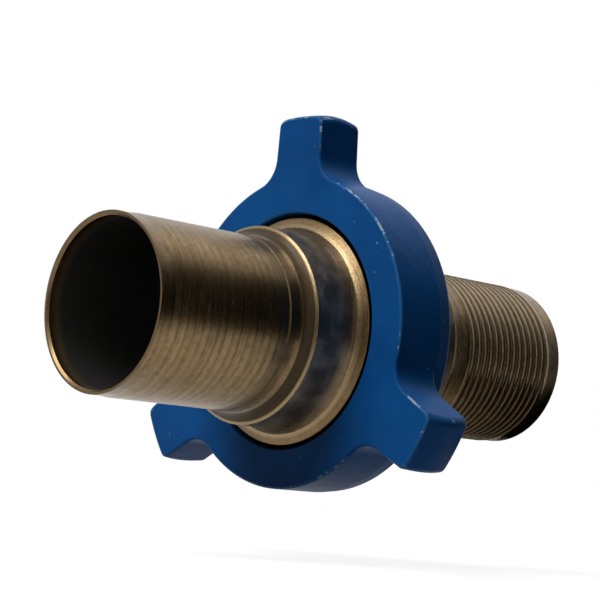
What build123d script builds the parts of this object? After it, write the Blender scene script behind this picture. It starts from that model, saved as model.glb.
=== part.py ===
from build123d import *
import math
import os

# Hammer union with two serrated hose shanks, in millimetres.
# The flow line runs along X: male sub towards -X, threaded female sub towards +X.
# The origin is on the axis where the female seat's cone meets the bore.

# Hose shanks, alike on both subs; radii are taken on the crests of the serrations
shank_radius = 50.8
shank_wall = 3.2
mouth_bevel = 1.2
lead_land = 9.2
serration_count = 14
serration_pitch = 5.51
serration_depth = 0.55
serration_drop = 0.7
root_land = 6.7
plain_land = 5.26

# Collar, neck and cove behind each shank
collar_height = 6.9
collar_rise = 9.5
collar_round = 0.6
neck_length = 17.0
cove_length = 11.5
cove_rise = 3.3
hub_face_angle = 69.7

# Male sub: hub, nut shoulder and ball nose
hub_rise = 6.2
hub_length = 7.0
hub_round = 1.0
shoulder_rise = 7.0
shoulder_angle = 45.0
shoulder_land = 2.7
nose_wall = 2.4

# Female sub: cone seat and threaded barrel
seat_angle = 60.0
seat_contact_rise = 10.4
seat_rim_wall = 4.8
seat_gap = 0.3
barrel_length = 30.1
barrel_runout = 3.0

# Seal ring in the cone seat
ring_section = 5.3
ring_outset = 6.0
ring_proud = 0.25
groove_gap = 0.1

# Trapezoidal thread, right hand, three turns to the inch
thread_lead = 25.4 / 3
thread_depth = 3.2
flank_angle = 14.5
flank_gap = 0.45
crest_gap = 0.7

# Wing nut: ring, lip and inside
nut_length = 44.6
nut_wall = 14.0
nut_taper = 1.3
nut_front_round = 1.8
nut_back_round = 4.0
nut_lead = 1.0
lip_gap = 2.47
lip_chamfer = 0.8
shoulder_gap = 0.35
shoulder_clearance = 0.8
relief_length = 3.0
relief_gap = 0.4

# Hammer lugs cast on the nut, their disc set a hair inside the ring
lug_count = 3
lug_first_angle = 88.6
lug_height = 35.0
lug_crown = 2.4
lug_depth = 33.0
lug_tip_width = 35.0
lug_root_width = 39.0
lug_root_fillet = 18.0
lug_corner_round = 5.0
lug_back_round = 2.5
lug_set_in = 0.05

# Radii that follow from the sizes above, from the bore out to the lugs
bore_radius = shank_radius - shank_wall
collar_radius = shank_radius + collar_height
cove_radius = collar_radius + cove_rise
hub_radius = cove_radius + hub_rise
lip_radius = hub_radius + lip_gap
shoulder_radius = hub_radius + shoulder_rise
nut_minor_radius = shoulder_radius + shoulder_clearance
barrel_root_radius = nut_minor_radius - crest_gap
barrel_major_radius = barrel_root_radius + thread_depth
nut_major_radius = barrel_major_radius + crest_gap
relief_radius = nut_major_radius + relief_gap
nut_radius = relief_radius + nut_wall
lug_tip_radius = nut_radius + lug_height
nose_tip_radius = bore_radius + nose_wall
seat_contact_radius = bore_radius + seat_contact_rise
seat_outer_radius = barrel_root_radius - seat_rim_wall
ring_centre_radius = seat_contact_radius + ring_outset

# Lengths, slopes and places along the axis that follow in the same way
seat_slope = math.radians(seat_angle)
shoulder_slope = math.radians(shoulder_angle)
face_slope = math.radians(hub_face_angle)
serrated_length = lead_land + serration_count * serration_pitch + root_land
shank_length = serrated_length + plain_land
stem_length = shank_length + collar_rise + neck_length + cove_length
seat_face_x = (bore_radius - seat_outer_radius) / math.tan(seat_slope)
contact_x = (bore_radius - seat_contact_radius) / math.tan(seat_slope)
nose_radius = seat_contact_radius / math.cos(seat_slope)
nose_centre_x = contact_x - nose_radius * math.sin(seat_slope) - seat_gap / math.sin(seat_slope)
nose_base_x = nose_centre_x + math.sqrt(nose_radius**2 - shoulder_radius**2)
nose_tip_x = nose_centre_x + math.sqrt(nose_radius**2 - nose_tip_radius**2)
shoulder_run = (shoulder_radius - hub_radius) / math.tan(shoulder_slope)
shoulder_x = nose_base_x - shoulder_land - shoulder_run
hub_x = shoulder_x - hub_length
male_crease_x = hub_x - (hub_radius - cove_radius) / math.tan(face_slope)
barrel_end_x = seat_face_x + barrel_length
female_crease_x = barrel_end_x + (barrel_root_radius - cove_radius) / math.tan(face_slope)
nut_front_x = hub_x - nut_lead
nut_back_x = nut_front_x + nut_length
lip_end_x = shoulder_x - shoulder_gap / math.sin(shoulder_slope) + lip_gap / math.tan(shoulder_slope)
relief_x = lip_end_x + (relief_radius - lip_radius) / math.tan(shoulder_slope)
nut_thread_x = relief_x + relief_length
lug_end_x = nut_front_x + lug_depth
chamfer_run = thread_depth + 2 * crest_gap


def turned(*outline):
    """Spin a closed outline of (x, radius) points or edges about the flow line."""
    if isinstance(outline[0], tuple):
        outline = [Polyline(*outline, close=True)]
    return revolve(make_face(outline), Axis.X)


def cylinder_between(start_x, end_x, radius):
    """Plain round bar along the flow line."""
    return turned((start_x, 0), (start_x, radius), (end_x, radius), (end_x, 0))


def serrated_outline():
    """Points of the hose shank from the collar out to the mouth, x measured from the cove."""
    root_radius = shank_radius - serration_depth
    mouth_x = stem_length
    first_root_x = mouth_x - lead_land
    last_root_x = first_root_x - serration_count * serration_pitch
    step_x = last_root_x - root_land
    points = [(step_x - serration_depth, shank_radius), (step_x, root_radius)]
    for tooth in range(serration_count):
        foot_x = last_root_x + tooth * serration_pitch
        points.append((foot_x, root_radius))
        points.append((foot_x + serration_drop, shank_radius))
    points += [(first_root_x, root_radius), (mouth_x, root_radius), (mouth_x, 0)]
    return points


def stem():
    """Cove, neck, collar and serrated shank, pointing along +X from the hub crease."""
    neck_x = cove_length
    rim_x = neck_x + neck_length
    shank_x = rim_x + collar_rise
    cove = TangentArc((neck_x, collar_radius), (0, cove_radius), tangent=(-1, 0))
    collar = TangentArc((shank_x, shank_radius), (rim_x, collar_radius), tangent=(-1, 0))
    outline = [
        Line((0, 0), (0, cove_radius)),
        cove,
        Line((neck_x, collar_radius), (rim_x, collar_radius)),
        collar,
        Polyline((shank_x, shank_radius), *serrated_outline()),
        Line((stem_length, 0), (0, 0)),
    ]
    face = make_face(outline)
    rim = [v for v in face.vertices() if abs(v.X - rim_x) < 0.01 and v.Y > shank_radius]
    return revolve(fillet(rim, collar_round), Axis.X)


def flow_bore(start_x, end_x):
    """Through bore with a bevelled mouth at end_x."""
    side = 1 if end_x > start_x else -1
    bevel_x = end_x - side * mouth_bevel
    bevel = turned(
        (bevel_x, 0),
        (bevel_x, bore_radius),
        (end_x, bore_radius + mouth_bevel),
        (end_x + side, bore_radius + mouth_bevel),
        (end_x + side, 0),
    )
    return cylinder_between(start_x, end_x, bore_radius) + bevel


def male_head():
    """Hub, nut shoulder and ball nose of the male sub."""
    tip_x = nose_tip_x
    mid_radius = (shoulder_radius + nose_tip_radius) / 2
    mid_x = nose_centre_x + math.sqrt(nose_radius**2 - mid_radius**2)
    outline = [
        Polyline(
            (tip_x, 0),
            (male_crease_x, 0),
            (male_crease_x, cove_radius),
            (hub_x, hub_radius),
            (shoulder_x, hub_radius),
            (shoulder_x + shoulder_run, shoulder_radius),
            (nose_base_x, shoulder_radius),
        ),
        ThreePointArc((nose_base_x, shoulder_radius), (mid_x, mid_radius), (tip_x, nose_tip_radius)),
        Line((tip_x, nose_tip_radius), (tip_x, 0)),
    ]
    face = make_face(outline)
    edge = [v for v in face.vertices() if abs(v.X - hub_x) < 0.01 and v.Y > cove_radius]
    return revolve(fillet(edge, hub_round), Axis.X)


def make_male_sub():
    """One turned piece: nose, shoulder, hub and hose shank."""
    mouth_x = male_crease_x - stem_length
    shank = Pos(male_crease_x, 0, 0) * mirror(stem(), about=Plane.YZ)
    return (male_head() + shank) - flow_bore(nose_tip_x + 1, mouth_x)


def thread_ridge(foot_radius, tip_radius, start_x, end_x, phase):
    """Helical ridge of trapezoidal section, one turn longer at each end than asked."""
    turns = math.ceil((end_x - start_x) / thread_lead) + 2
    first_x = math.floor(start_x / thread_lead) * thread_lead - thread_lead + phase
    path = Helix(
        pitch=thread_lead,
        height=turns * thread_lead,
        radius=foot_radius,
        center=(first_x, 0, 0),
        direction=(1, 0, 0),
    )
    taper = 0.5 * thread_depth * math.tan(math.radians(flank_angle))
    mid_half = (thread_lead / 2 - flank_gap) / 2
    foot_half = mid_half + taper
    tip_half = mid_half - taper
    rise = tip_radius - foot_radius
    root = -math.copysign(flank_gap, rise)
    start = path @ 0
    radial = Vector(0, start.Y, start.Z).normalized()
    section = Plane(origin=start, x_dir=radial, z_dir=path % 0) * make_face(
        Polyline((root, -foot_half), (rise, -tip_half), (rise, tip_half), (root, foot_half), close=True)
    )
    return sweep(section, path=path, is_frenet=True)


def seat_normal_point(radius, depth):
    """Point below the cone seat, at a radius on the cone and a depth along its normal."""
    x = (bore_radius - radius) / math.tan(seat_slope)
    return (x + depth * math.sin(seat_slope), radius + depth * math.cos(seat_slope))


def ring_groove():
    """Square groove for the seal ring, cut straight into the cone seat."""
    half = ring_section / 2 + groove_gap
    floor = ring_section - ring_proud + groove_gap
    along_r = half * math.sin(seat_slope)
    return turned(
        seat_normal_point(ring_centre_radius - along_r, -ring_proud),
        seat_normal_point(ring_centre_radius + along_r, -ring_proud),
        seat_normal_point(ring_centre_radius + along_r, floor),
        seat_normal_point(ring_centre_radius - along_r, floor),
    )


def threaded_barrel():
    """Barrel behind the cone seat with its external thread."""
    core = turned(
        (seat_face_x, 0),
        (seat_face_x, barrel_root_radius),
        (barrel_end_x, barrel_root_radius),
        (female_crease_x, cove_radius),
        (female_crease_x, 0),
    )
    run_end_x = barrel_end_x - barrel_runout
    envelope = turned(
        (seat_face_x, 0),
        (seat_face_x, barrel_root_radius - crest_gap),
        (seat_face_x + chamfer_run, barrel_major_radius + crest_gap),
        (run_end_x - chamfer_run, barrel_major_radius + crest_gap),
        (run_end_x, barrel_root_radius - crest_gap),
        (run_end_x, 0),
    )
    ridge = thread_ridge(barrel_root_radius, barrel_major_radius, seat_face_x, barrel_end_x, 0)
    return core + (ridge & envelope)


def make_female_sub():
    """One turned piece: cone seat, threaded barrel and hose shank."""
    mouth_x = female_crease_x + stem_length
    cone = turned(
        (seat_face_x - 1, 0),
        (seat_face_x - 1, seat_outer_radius + math.tan(seat_slope)),
        (0, bore_radius),
        (0, 0),
    )
    body = threaded_barrel() + Pos(female_crease_x, 0, 0) * stem()
    return body - flow_bore(-1, mouth_x) - cone - ring_groove()


def make_seal_ring():
    """Round-section ring lying in its groove, a little proud of the seat."""
    centre_x, centre_radius = seat_normal_point(ring_centre_radius, ring_section / 2 - ring_proud)
    section = Plane.XY * Pos(centre_x, centre_radius) * Circle(ring_section / 2)
    return revolve(section, Axis.X)


def lug_plan():
    """Flat outline of the nut's ring with its tapered lugs, lugs first pointing up the Y axis."""
    root_reach = nut_radius * 0.8
    reach = lug_tip_radius + lug_crown + 1
    lug = make_face(
        Polyline(
            (root_reach, -lug_root_width / 2),
            (reach, -lug_tip_width / 2),
            (reach, lug_tip_width / 2),
            (root_reach, lug_root_width / 2),
            close=True,
        )
    )
    disc_radius = nut_radius - lug_set_in
    plan = Sketch() + Circle(disc_radius)
    for number in range(lug_count):
        plan += Rot(0, 0, lug_first_angle + number * 360 / lug_count) * lug
    corners = [v for v in plan.vertices() if Vector(v).length < disc_radius + 1]
    return fillet(corners, lug_root_fillet)


def lug_envelope():
    """Solid of revolution that crowns the lug tips from front to back."""
    crown_x = (nut_front_x + lug_end_x) / 2
    crown = ThreePointArc(
        (nut_front_x, lug_tip_radius),
        (crown_x, lug_tip_radius + lug_crown),
        (lug_end_x, lug_tip_radius),
    )
    rest = Polyline((lug_end_x, lug_tip_radius), (lug_end_x, 0), (nut_front_x, 0), (nut_front_x, lug_tip_radius))
    return turned(crown, rest)


def nut_casting():
    """Ring and lugs as cast, before anything is turned inside."""
    upright = Plane(origin=(nut_front_x, 0, 0), x_dir=(0, 1, 0), z_dir=(1, 0, 0))
    lugs = extrude(upright * lug_plan(), amount=lug_depth) & lug_envelope()
    tips = [e for e in lugs.edges() if e.center().X > nut_front_x + 1 and e.center().X < lug_end_x - 1]
    tips = [e for e in tips if math.hypot(e.center().Y, e.center().Z) > lug_tip_radius - 1]
    lugs = fillet(tips, lug_corner_round)
    front = [e for e in lugs.edges() if abs(e.center().X - nut_front_x) < 0.01]
    lugs = fillet(front, nut_front_round)
    back = [e for e in lugs.edges() if abs(e.center().X - lug_end_x) < 0.01]
    return fillet(back, lug_back_round)


def nut_ring():
    """Ring that carries the lugs, tapered behind them, its back edge well rounded."""
    face = make_face(
        Polyline(
            (nut_front_x + nut_front_round, 0),
            (nut_front_x + nut_front_round, nut_radius),
            (lug_end_x, nut_radius),
            (nut_back_x, nut_radius - nut_taper),
            (nut_back_x, 0),
            close=True,
        )
    )
    edge = [v for v in face.vertices() if abs(v.X - nut_back_x) < 0.01 and v.Y > 1]
    return revolve(fillet(edge, nut_back_round), Axis.X)


def nut_inside():
    """Lip bore, cone that bears on the male shoulder, relief and thread bore."""
    return turned(
        (nut_front_x - 1, 0),
        (nut_front_x - 1, lip_radius + lip_chamfer + 1),
        (nut_front_x + lip_chamfer, lip_radius),
        (lip_end_x, lip_radius),
        (relief_x, relief_radius),
        (nut_thread_x, relief_radius),
        (nut_thread_x, nut_major_radius),
        (nut_back_x + 1, nut_major_radius),
        (nut_back_x + 1, 0),
    )


def nut_thread():
    """Internal thread, half a lead out of step with the barrel's ridge."""
    inner_radius = nut_minor_radius - crest_gap
    outer_radius = nut_major_radius + crest_gap
    envelope = turned(
        (nut_thread_x, inner_radius),
        (nut_thread_x, outer_radius),
        (nut_back_x, outer_radius),
        (nut_back_x - chamfer_run, inner_radius),
    )
    ridge = thread_ridge(nut_major_radius, nut_minor_radius, nut_thread_x, nut_back_x, thread_lead / 2)
    return ridge & envelope


def make_wing_nut():
    """Cast nut with three hammer lugs and a turned and threaded inside."""
    return (nut_casting() + nut_ring() - nut_inside()) + nut_thread()


def main():
    os.makedirs("parts", exist_ok=True)
    pieces = {
        "male_sub": make_male_sub(),
        "female_sub": make_female_sub(),
        "seal_ring": make_seal_ring(),
        "wing_nut": make_wing_nut(),
    }
    for name, piece in pieces.items():
        export_step(piece, f"parts/{name}.step")
        box = piece.bounding_box()
        print(name, len(piece.solids()), "solids", round(piece.volume), "mm3", box.min, box.max)


main()
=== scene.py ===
import bpy
import math
from mathutils import Matrix, Vector


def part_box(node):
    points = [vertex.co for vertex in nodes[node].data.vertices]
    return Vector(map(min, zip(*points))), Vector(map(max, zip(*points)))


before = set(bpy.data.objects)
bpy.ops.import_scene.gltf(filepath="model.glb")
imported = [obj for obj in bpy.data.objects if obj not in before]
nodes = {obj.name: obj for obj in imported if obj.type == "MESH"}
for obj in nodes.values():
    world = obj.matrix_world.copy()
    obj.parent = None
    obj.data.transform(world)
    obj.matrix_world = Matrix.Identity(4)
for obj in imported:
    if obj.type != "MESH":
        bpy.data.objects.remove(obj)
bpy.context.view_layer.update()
print("frame loaded:", sorted(nodes))


# one output socket; arithmetic on it adds Math nodes
class Wire:
    def __init__(self, graph, socket):
        self.graph = graph
        self.socket = socket

    def math(self, operation, *values):
        return self.graph.add("ShaderNodeMath", {"operation": operation}, dict(enumerate(values)))

    def __add__(self, other):
        return self.math("ADD", self, other)

    def __sub__(self, other):
        return self.math("SUBTRACT", self, other)

    def __rsub__(self, other):
        return self.math("SUBTRACT", other, self)

    def __mul__(self, other):
        return self.math("MULTIPLY", self, other)

    def __truediv__(self, other):
        return self.math("DIVIDE", self, other)

    def __pow__(self, other):
        return self.math("POWER", self, other)

    __radd__ = __add__
    __rmul__ = __mul__

    def smaller(self, other):
        return self.math("MINIMUM", self, other)

    def larger(self, other):
        return self.math("MAXIMUM", self, other)

    def size(self):
        return self.math("ABSOLUTE", self)

    def root(self):
        return self.math("SQRT", self)

    def rounded(self):
        return self.math("ROUND", self)

    def cosine(self):
        return self.math("COSINE", self)

    def sine(self):
        return self.math("SINE", self)

    # 0 at low, 1 at high, eased
    def between(self, low, high):
        settings = {"interpolation_type": "SMOOTHSTEP"}
        sockets = {0: self, 1: low, 2: high, 3: 0.0, 4: 1.0}
        return self.graph.add("ShaderNodeMapRange", settings, sockets)

    # 1 between a rise and a fall, each given as its own low and high
    def within(self, rise, fall):
        return self.between(*rise) * (1 - self.between(*fall))

    # a line at 0, full up to the first distance and gone at the second
    def line(self, full, gone):
        return 1 - self.size().between(full, gone)


class Graph:
    def __init__(self, name, tree=None):
        if tree is None:
            self.material = bpy.data.materials.new(name)
            self.material.use_nodes = True
            tree = self.material.node_tree
        self.tree = tree
        self.tree.nodes.clear()

    def add(self, kind, settings=None, sockets=None, output=0):
        node = self.tree.nodes.new(kind)
        for key, value in (settings or {}).items():
            setattr(node, key, value)
        for key, value in (sockets or {}).items():
            self.feed(node.inputs[key], value)
        return Wire(self, node.outputs[output]) if node.outputs else node

    def feed(self, socket, value):
        if isinstance(value, Wire):
            self.tree.links.new(value.socket, socket)
        elif isinstance(value, tuple) and socket.type == "RGBA":
            socket.default_value = (*value, 1.0)
        else:
            socket.default_value = value

    def place(self):
        point = self.add("ShaderNodeTexCoord", output="Object")
        split = self.add("ShaderNodeSeparateXYZ", sockets={0: point})
        outputs = split.socket.node.outputs
        return point, [Wire(self, outputs[axis]) for axis in "XYZ"]

    def vector(self, x, y, z):
        return self.add("ShaderNodeCombineXYZ", sockets={0: x, 1: y, 2: z})

    def noise(self, point, scale, detail, rough=0.5):
        sockets = {"Vector": point, "Scale": scale, "Detail": detail, "Roughness": rough}
        return self.add("ShaderNodeTexNoise", sockets=sockets, output="Fac")

    # colour mix by a factor
    def blend(self, factor, first, second):
        sockets = {0: factor, 6: first, 7: second}
        return self.add("ShaderNodeMix", {"data_type": "RGBA"}, sockets, output=2)

    # distance in metres; under is the bump below this one
    def bump(self, height, distance, strength, under=None):
        sockets = {"Height": height, "Distance": distance, "Strength": strength}
        if under is not None:
            sockets["Normal"] = under
        return self.add("ShaderNodeBump", sockets=sockets)

    def surface(self, **values):
        words = {
            "colour": "Base Color",
            "metal": "Metallic",
            "rough": "Roughness",
            "normal": "Normal",
            "coat": "Coat Weight",
            "coatRough": "Coat Roughness",
            "specular": "Specular IOR Level",
        }
        sockets = {words[key]: value for key, value in values.items()}
        shader = self.add("ShaderNodeBsdfPrincipled", sockets=sockets)
        self.add("ShaderNodeOutputMaterial", sockets={"Surface": shader})
        return self.material


# a flat sheet with four corners
def addSheet(name, corners):
    mesh = bpy.data.meshes.new(name)
    mesh.from_pydata(corners, [], [(0, 1, 2, 3)])
    sheet = bpy.data.objects.new(name, mesh)
    bpy.context.scene.collection.objects.link(sheet)
    return sheet


nutLow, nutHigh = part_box("wing_nut")
camera = {
    "lens": 118.8,
    "sensor": 36.0,
    "clip": (0.05, 30.0),
    "eye": (-0.7975, -0.8398, -0.0816),  # from the centre of the nut's front face
    "right": (0.7125, -0.6959, 0.0891),
    "up": (-0.1241, 0.0, 0.9923),
}


def addCamera(spec):
    data = bpy.data.cameras.new("viewCamera")
    data.lens = spec["lens"]
    data.sensor_width = spec["sensor"]
    data.clip_start, data.clip_end = spec["clip"]
    rig = bpy.data.objects.new("viewCamera", data)
    bpy.context.scene.collection.objects.link(rig)
    right = Vector(spec["right"]).normalized()
    up = Vector(spec["up"])
    up = (up - right * up.dot(right)).normalized()
    back = right.cross(up)
    turn = Matrix((right, up, back)).transposed().to_4x4()
    faceCentre = Vector((nutLow[0], 0.0, 0.0))
    rig.matrix_world = Matrix.Translation(faceCentre + Vector(spec["eye"])) @ turn
    bpy.context.scene.camera = rig


addCamera(camera)
print("camera placed")


# turned steel: lengths in metres, noises as scale, detail and roughness
sub = {
    "colours": {
        # painted shade: near black inside the bore
        "boreBlack": (0.005, 0.004, 0.003),
        "neckGrey": (0.165, 0.148, 0.122),
        "neckPatch": (0.340, 0.325, 0.290),
        # dirt with painted shade: darkens the ridge roots, the collar's foot and the step
        "grimeAndShade": (0.020, 0.013, 0.006),
        # wear with a painted highlight: brightens the ridge crests, the rim and the crease
        "wearAndHighlight": (0.36, 0.275, 0.155),
    },
    # places along the axis, from the mouth
    "step": 0.0933,
    "rim": 0.1078,
    "crease": 0.1363,
    "firstRidge": 0.0092,
    "ridgePitch": 0.00551,
    "ridgeCount": 14,
    "boreRadius": 0.0476,
    # where each mark starts and is full
    "lipEnd": (0.0008, 0.0018),  # from the mouth
    "boreStart": (0.001, 0.012),
    "boreEdge": (0.0002, 0.0008),  # outside the bore's radius
    "polishStart": (-0.0090, -0.0080),  # from the rim
    "footStart": (-0.0064, -0.0050),
    "footEnd": (-0.0010, -0.0004),
    "neckStart": (0.0, 0.001),
    "neckEnd": (-0.012, 0.0),  # from the crease
    "hubStart": (0.0010, 0.0025),
    "rimLine": (0.0003, 0.0009),
    "stepLine": (0.0004, 0.0009),
    "creaseLine": (0.0004, 0.0012),
    "ridgeEase": 0.2,  # share of a pitch, at both ends of the ridges
    "ridgeRoot": (0.55, 0.97),
    "ridgeTop": (0.55, 0.95),
    # noises, and where each is cut
    "fine": (4200.0, 2.0),
    "coarse": (700.0, 3.0),
    "speck": (260.0, 4.0, 0.65),
    "stain": (26.0, 4.0, 0.6),
    "patch": (75.0, 5.0, 0.62),
    "coarseCut": (0.38, 0.66),
    "speckCut": (0.42, 0.7),
    "stainCut": (0.5, 0.75),
    "patchCut": (0.40, 0.68),
    "streak": 0.45,  # share of each of the two noises
    "latheTaper": 0.7,  # so that a flat face gets rings too
    "latheSqueeze": 0.0010,  # round the axis
    # colours laid one over the other: mark, strength, colour
    "layers": [
        ("streak", 1.0, "dark"),
        ("stain", 0.5, "dark"),
        ("polish", 0.10, "dark"),
        ("neck", 0.6, "neckGrey"),
        ("patch", 0.45, "neckPatch"),
        # painted shade on the hub's face
        ("hub", 0.60, "dark"),
        # painted shade on the mouth's lip
        ("lip", 0.5, "dark"),
        # painted highlight along the crease
        ("crease", 0.4, "wearAndHighlight"),
        # dirt with painted shade in the ridge roots
        ("root", 1.0, "grimeAndShade"),
        # wear with a painted highlight on the ridge crests
        ("top", 0.7, "wearAndHighlight"),
        # painted shade with grime: a dark band at the collar's foot
        ("foot", 0.9, "grimeAndShade"),
        # painted shade: a dark line at the step
        ("step", 0.6, "grimeAndShade"),
        # wear with a painted highlight: a bright line on the rim
        ("rim", 0.4, "wearAndHighlight"),
        ("bore", 1.0, "boreBlack"),
    ],
    "rough": 0.20,
    "roughBy": {
        "fine": 0.10,
        "speck": 0.12,
        "polish": -0.03,
        "neck": 0.09,
        "patch": 0.14,
        "foot": 0.2,
        "root": 0.2,
        "top": -0.08,
        "bore": 0.4,
        "step": 0.3,
    },
    "fineDepth": 0.00011,
    "coarseDepth": 0.00010,
    "coarseStrength": 0.5,
    "neckSmooth": 0.7,  # share of the turning marks gone from the neck
    "boreDull": 0.7,  # share of the metal look gone from the bore
    "film": 0.12,  # thin oil film
    "filmRough": 0.18,
}
maleSteel = {
    "warm": (0.203, 0.137, 0.066),
    "dark": (0.098, 0.061, 0.026),
    "ridgeDepth": 0.00005,
    # strength of the dirt with painted shade in the ridge roots and the wear with a painted
    # highlight on the crests
    "ridgeWearAndShading": 0.10,
}
femaleSteel = {
    "warm": (0.230, 0.155, 0.072),
    "dark": (0.100, 0.062, 0.026),
    "ridgeDepth": 0.00036,
    # strength of the dirt with painted shade in the ridge roots and the wear with a painted
    # highlight on the crests
    "ridgeWearAndShading": 0.70,
}


# the height of the ridges, and the marks that colour and roughen the steel, each 0 to 1
def turnedMarks(graph, look, point, radius, fromMouth):
    fromRim = fromMouth - sub["rim"]
    fromCrease = fromMouth - sub["crease"]
    # painted shade: the inside of the bore is coloured near black
    bore = 1 - (radius - sub["boreRadius"]).between(*sub["boreEdge"])
    bore = bore * fromMouth.between(*sub["boreStart"])
    neck = fromRim.between(*sub["neckStart"]) * (1 - fromCrease.between(*sub["neckEnd"]))
    # rounded crests over the serrations; their roots get dirt with painted shade, their crests wear
    # with a painted highlight
    teeth = (fromMouth - sub["firstRidge"]) / sub["ridgePitch"]
    crest = 0.5 - (teeth * (2 * math.pi)).cosine() * 0.5
    ease = sub["ridgeEase"]
    last = sub["ridgeCount"]
    onShank = teeth.within((-ease, ease), (last - ease, last + ease)) * (1 - bore)
    wearAndShading = onShank * look["ridgeWearAndShading"]
    return crest * onShank, {
        "bore": bore,
        "neck": neck,
        # painted shade: the mouth's lip is made darker
        "lip": 1 - fromMouth.between(*sub["lipEnd"]),
        "polish": fromRim.between(*sub["polishStart"]),
        # painted shade with grime: a dark band at the collar's foot, next to the rim
        "foot": fromRim.within(sub["footStart"], sub["footEnd"]),
        # painted shade: the hub's face is made darker
        "hub": fromCrease.between(*sub["hubStart"]),
        # wear with a painted highlight: a bright line on the rim
        "rim": fromRim.line(*sub["rimLine"]),
        # painted shade: a dark line at the step
        "step": (fromMouth - sub["step"]).line(*sub["stepLine"]),
        # painted highlight: a bright line along the crease
        "crease": fromCrease.line(*sub["creaseLine"]),
        # dirt with painted shade in the ridge roots
        "root": (1 - crest).between(*sub["ridgeRoot"]) * wearAndShading,
        # wear with a painted highlight on the ridge crests
        "top": crest.between(*sub["ridgeTop"]) * wearAndShading,
        "stain": graph.noise(point, *sub["stain"]).between(*sub["stainCut"]),
        "patch": graph.noise(point, *sub["patch"]).between(*sub["patchCut"]) * neck,
    }


def turnedSteel(name, mouthX, side, look):
    graph = Graph(name)
    point, (x, y, z) = graph.place()
    radius = (y * y + z * z).root()
    # squeezed round the axis, so the noise reads as turning marks
    squeeze = sub["latheSqueeze"]
    lathe = graph.vector(x + radius * sub["latheTaper"], y / radius * squeeze, z / radius * squeeze)
    fine = graph.noise(lathe, *sub["fine"])
    coarse = graph.noise(lathe, *sub["coarse"])
    speck = graph.noise(point, *sub["speck"])
    ridges, marks = turnedMarks(graph, look, point, radius, (x - mouthX) * side)
    marks["fine"] = fine
    marks["speck"] = speck
    streaks = coarse.between(*sub["coarseCut"]) + speck.between(*sub["speckCut"])
    marks["streak"] = streaks * sub["streak"]
    colours = {**sub["colours"], **look}
    metalColour = look["warm"]
    for mark, strength, colour in sub["layers"]:
        metalColour = graph.blend(marks[mark] * strength, metalColour, colours[colour])
    rough = sub["rough"]
    for mark, amount in sub["roughBy"].items():
        rough = rough + marks[mark] * amount
    turned = 1 - marks["neck"] * sub["neckSmooth"]
    skin = graph.bump(ridges, look["ridgeDepth"], 1.0)
    skin = graph.bump(fine * turned, sub["fineDepth"], 1.0, skin)
    skin = graph.bump(coarse * turned, sub["coarseDepth"], sub["coarseStrength"], skin)
    return graph.surface(
        colour=metalColour,
        metal=1 - marks["bore"] * sub["boreDull"],
        rough=rough,
        normal=skin,
        coat=(1 - marks["bore"]) * sub["film"],
        coatRough=sub["filmRough"],
    )


nut = {
    # the outline, as the solid has it
    "ringRadius": 0.0926,
    "lipRadius": 0.06967,
    "lugAngle": math.radians(88.6),
    "lugTip": 0.1276,
    "lugCrown": 0.0024,
    "lugDepth": 0.033,
    "lugRootHalf": 0.0195,
    "lugTipHalf": 0.0175,
    "lugFillet": 0.018,
    "lugCorner": 0.005,
    # the paint
    "blue": (0.003, 0.070, 0.245),
    "deep": (0.002, 0.050, 0.185),
    # thinner paint with a painted highlight: a paler blue along the edges
    "thinPaintAndHighlight": (0.030, 0.125, 0.300),
    "bare": (0.26, 0.35, 0.42),
    "specular": 0.06,
    # noises as scale, detail and roughness, and where each is cut
    "lumps": (70.0, 4.0, 0.55),
    "grain": (480.0, 3.0, 0.6),
    "cloud": (16.0, 3.0, 0.6),
    "patchy": (190.0, 5.0, 0.7),
    "stretch": (24.0, 2.0),
    "fleck": (300.0, 2.0),
    "cloudCut": (0.35, 0.7),
    "patchyCut": (0.42, 0.62),
    "stretchCut": (0.38, 0.60),
    "fleckCut": (0.75, 0.78),
    "chipCut": (0.22, 0.60),
    "thinPaintAndHighlightCut": (0.05, 0.7),
    "onLug": (0.001, 0.004),  # outside the ring
    # worn edges: width, and how much of the width is fully worn
    "edgeWidth": 0.0018,
    "edgeCore": 0.35,
    "backWidth": 1.2,  # of the edge's width
    "tipWidth": 2.0,
    "tipWear": 0.6,
    "lipWear": 0.35,
    "stretchShare": 0.75,  # how far wear comes and goes along an edge
    "fleckStrength": 0.6,
    "thinPaintAndHighlightStrength": 0.55,
    "rough": 0.40,
    "grainRough": 0.16,
    "lumpRough": -0.08,
    "chipRough": 0.1,
    # depth and strength of each bump
    "lumpBump": (0.0012, 0.4),
    "grainBump": (0.0002, 0.4),
    "chipBump": (0.0003, 0.5),
}


# signed distance to the nut's outline seen along the axis, with the lugs folded onto one
def nutOutline(graph, x, y, z):
    radius = (y * y + z * z).root()
    third = 2 * math.pi / 3
    turn = z.math("ARCTAN2", z, y) - nut["lugAngle"]
    turn = turn - (turn / third).rounded() * third
    along = radius * turn.cosine()
    across = (radius * turn.sine()).size()
    root = nut["ringRadius"]
    taper = (nut["lugRootHalf"] - nut["lugTipHalf"]) / (nut["lugTip"] - root)
    flank = across - nut["lugRootHalf"] + (along - root) * taper
    depth = (x - nutLow[0]) / (nut["lugDepth"] / 2) - 1
    tip = radius - nut["lugTip"] - (1 - depth * depth) * nut["lugCrown"]
    corner = nut["lugCorner"]
    reach = ((flank + corner).larger(0.0) ** 2.0 + (tip + corner).larger(0.0) ** 2.0).root()
    lug = (flank.larger(tip) + corner).smaller(0.0) + reach - corner
    lug = lug.larger(0.0 - along)  # none on the side away from the lug
    ring = radius - nut["ringRadius"]
    fillet = nut["lugFillet"]
    gap = ((fillet - lug).larger(0.0) ** 2.0 + (fillet - ring).larger(0.0) ** 2.0).root()
    outline = lug.smaller(ring).larger(fillet) - gap
    return radius, outline, flank, tip


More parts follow.
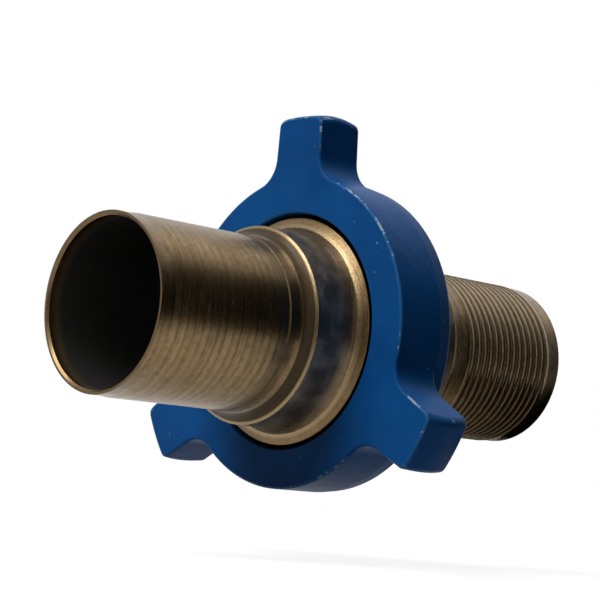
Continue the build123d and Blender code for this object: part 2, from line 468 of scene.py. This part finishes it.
def castPaint():
    graph = Graph("castPaint")
    point, (x, y, z) = graph.place()
    radius, outline, flank, tip = nutOutline(graph, x, y, z)
    lumps = graph.noise(point, *nut["lumps"])
    grain = graph.noise(point, *nut["grain"])
    cloud = graph.noise(point, *nut["cloud"])
    patchy = graph.noise(point, *nut["patchy"])
    stretch = graph.noise(point, *nut["stretch"])
    fleck = graph.noise(point, *nut["fleck"])
    wide = nut["edgeWidth"]

    # 1 on an edge line, falling to 0 a little way off it
    def edgeLine(first, second, width):
        return (first * first + second * second).root().line(width * nut["edgeCore"], width)

    front = x - nutLow[0]
    lugBack = front - nut["lugDepth"]
    lip = radius - nut["lipRadius"]
    onLug = (radius - nut["ringRadius"]).between(*nut["onLug"])
    edges = edgeLine(outline, front, wide)
    edges = edges.larger(edgeLine(outline, lugBack, wide * nut["backWidth"]) * onLug)
    edges = edges.larger(edgeLine(flank, tip, wide * nut["tipWidth"]) * nut["tipWear"])
    edges = edges.larger(edgeLine(lip, front, wide) * nut["lipWear"])
    share = nut["stretchShare"]
    broken = stretch.between(*nut["stretchCut"]) * share + (1 - share)
    broken = patchy.between(*nut["patchyCut"]) * broken
    fleck = fleck.between(*nut["fleckCut"]) * nut["fleckStrength"]
    chips = (edges * broken).between(*nut["chipCut"]).larger(fleck)
    # thinner paint with a painted highlight: a paler blue band along the edges
    thinPaintAndHighlight = edges.between(*nut["thinPaintAndHighlightCut"]) * nut["thinPaintAndHighlightStrength"]
    colour = graph.blend(cloud.between(*nut["cloudCut"]), nut["blue"], nut["deep"])
    colour = graph.blend(thinPaintAndHighlight, colour, nut["thinPaintAndHighlight"])
    colour = graph.blend(chips, colour, nut["bare"])
    rough = nut["rough"] + grain * nut["grainRough"]
    rough = rough + lumps * nut["lumpRough"] + chips * nut["chipRough"]
    skin = graph.bump(lumps, *nut["lumpBump"])
    skin = graph.bump(grain, *nut["grainBump"], skin)
    skin = graph.bump(1 - chips, *nut["chipBump"], skin)
    return graph.surface(colour=colour, rough=rough, normal=skin, specular=nut["specular"])


seal = {
    "black": (0.015, 0.015, 0.016),
    "grain": (900.0, 2.0),
    "grainBump": (0.0001, 0.3),
    "rough": 0.6,
    "grainRough": 0.15,
}


def mouldedRubber():
    graph = Graph("mouldedRubber")
    point, _ = graph.place()
    grain = graph.noise(point, *seal["grain"])
    skin = graph.bump(grain, *seal["grainBump"])
    rough = seal["rough"] + grain * seal["grainRough"]
    return graph.surface(colour=seal["black"], rough=rough, normal=skin)


def paint(node, material):
    mesh = nodes[node].data
    mesh.materials.clear()
    mesh.materials.append(material)


# each sub is measured inward from its own mouth
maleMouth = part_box("male_sub")[0][0]
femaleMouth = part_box("female_sub")[1][0]
paint("male_sub", turnedSteel("maleSteel", maleMouth, 1.0, maleSteel))
paint("female_sub", turnedSteel("femaleSteel", femaleMouth, -1.0, femaleSteel))
paint("wing_nut", castPaint())
paint("seal_ring", mouldedRubber())
print("materials made")


white = (1.0, 1.0, 1.0)
cardFoot = -0.129  # just above the floor
studio = {
    "floorSize": 2.4,
    "floorGap": 0.002,  # below a lug that turns past the bottom
    "floorColour": (0.34, 0.34, 0.34),
    "floorGlow": 0.90,
    "world": 0.010,
    "cardColour": (0.004, 0.0035, 0.003),
    "cards": {
        "frontCard": [
            (-0.20, -0.46, cardFoot),
            (1.30, -0.46, cardFoot),
            (1.30, -0.46, 0.72),
            (-0.20, -0.46, 0.72),
        ],
        "leftCard": [
            (-0.80, -0.45, cardFoot),
            (-0.80, 0.55, cardFoot),
            (-0.80, 0.55, 0.34),
            (-0.80, -0.45, 0.34),
        ],
        # painted shadow: a dark sheet where the nut's shadow lies on the floor, seen only in
        # reflections
        "lowCard": [
            (0.165, -0.46, cardFoot),
            (0.80, -0.46, cardFoot),
            (0.80, 0.20, cardFoot),
            (0.165, 0.20, cardFoot),
        ],
    },
    "lamps": {
        "leftBox": {"at": (-1.28, 0.15, 1.45), "size": (1.1, 1.5), "watts": 40.0},
        "rightBox": {"at": (1.15, 0.40, 1.42), "size": (1.6, 1.0), "watts": 1.2},
        "topBox": {"at": (0.15, -0.35, 1.90), "size": (0.5, 0.5), "watts": 3.6},
    },
}


# 1 for rays from the camera, off shiny metal or through glass
def seenDirectly(graph):
    seen = graph.add("ShaderNodeLightPath", output="Is Camera Ray")
    for ray in ("Is Glossy Ray", "Is Transmission Ray"):
        seen = seen.larger(graph.add("ShaderNodeLightPath", output=ray))
    return seen


def addFloor():
    half = studio["floorSize"] / 2
    low = -nutHigh[2] - studio["floorGap"]
    corners = [(-half, -half, low), (half, -half, low), (half, half, low), (-half, half, low)]
    floor = addSheet("studioFloor", corners)
    graph = Graph("studioFloor")
    cloth = graph.add("ShaderNodeBsdfDiffuse", sockets={"Color": studio["floorColour"]})
    lift = seenDirectly(graph) * studio["floorGlow"]  # leaves the shadow on it
    glow = graph.add("ShaderNodeEmission", sockets={"Color": white, "Strength": lift})
    pale = graph.add("ShaderNodeAddShader", sockets={0: cloth, 1: glow})
    clear = graph.add("ShaderNodeBsdfTransparent")
    under = graph.add("ShaderNodeNewGeometry", output="Backfacing")  # seen through from below
    pale = graph.add("ShaderNodeMixShader", sockets={0: under, 1: pale, 2: clear})
    graph.add("ShaderNodeOutputMaterial", sockets={"Surface": pale})
    floor.data.materials.append(graph.material)


def addLamp(name, spec):
    data = bpy.data.lights.new(name, "AREA")
    data.shape = "RECTANGLE"
    data.size, data.size_y = spec["size"]
    data.energy = spec["watts"]
    lamp = bpy.data.objects.new(name, data)
    bpy.context.scene.collection.objects.link(lamp)
    lamp.location = spec["at"]
    lamp.visible_camera = False
    toPart = -Vector(spec["at"])
    lamp.rotation_euler = toPart.to_track_quat("-Z", "Y").to_euler()


# a dark card that only reflections see, as used beside bright metal
def addCard(name, corners):
    card = addSheet(name, corners)
    graph = Graph(name)
    felt = graph.add("ShaderNodeBsdfDiffuse", sockets={"Color": studio["cardColour"]})
    graph.add("ShaderNodeOutputMaterial", sockets={"Surface": felt})
    card.data.materials.append(graph.material)
    card.visible_camera = False
    card.visible_diffuse = False
    card.visible_shadow = False


def addWorld():
    world = bpy.data.worlds.new("studioWorld")
    world.use_nodes = True
    bpy.context.scene.world = world
    graph = Graph("studioWorld", world.node_tree)
    level = studio["world"] + seenDirectly(graph) * (1 - studio["world"])
    glow = graph.add("ShaderNodeBackground", sockets={"Color": white, "Strength": level})
    graph.add("ShaderNodeOutputWorld", sockets={"Surface": glow})


addFloor()
for lampName, lampSpec in studio["lamps"].items():
    addLamp(lampName, lampSpec)
for cardName, cardCorners in studio["cards"].items():
    addCard(cardName, cardCorners)
addWorld()
bpy.context.scene.view_settings.view_transform = "Standard"
print("studio made")
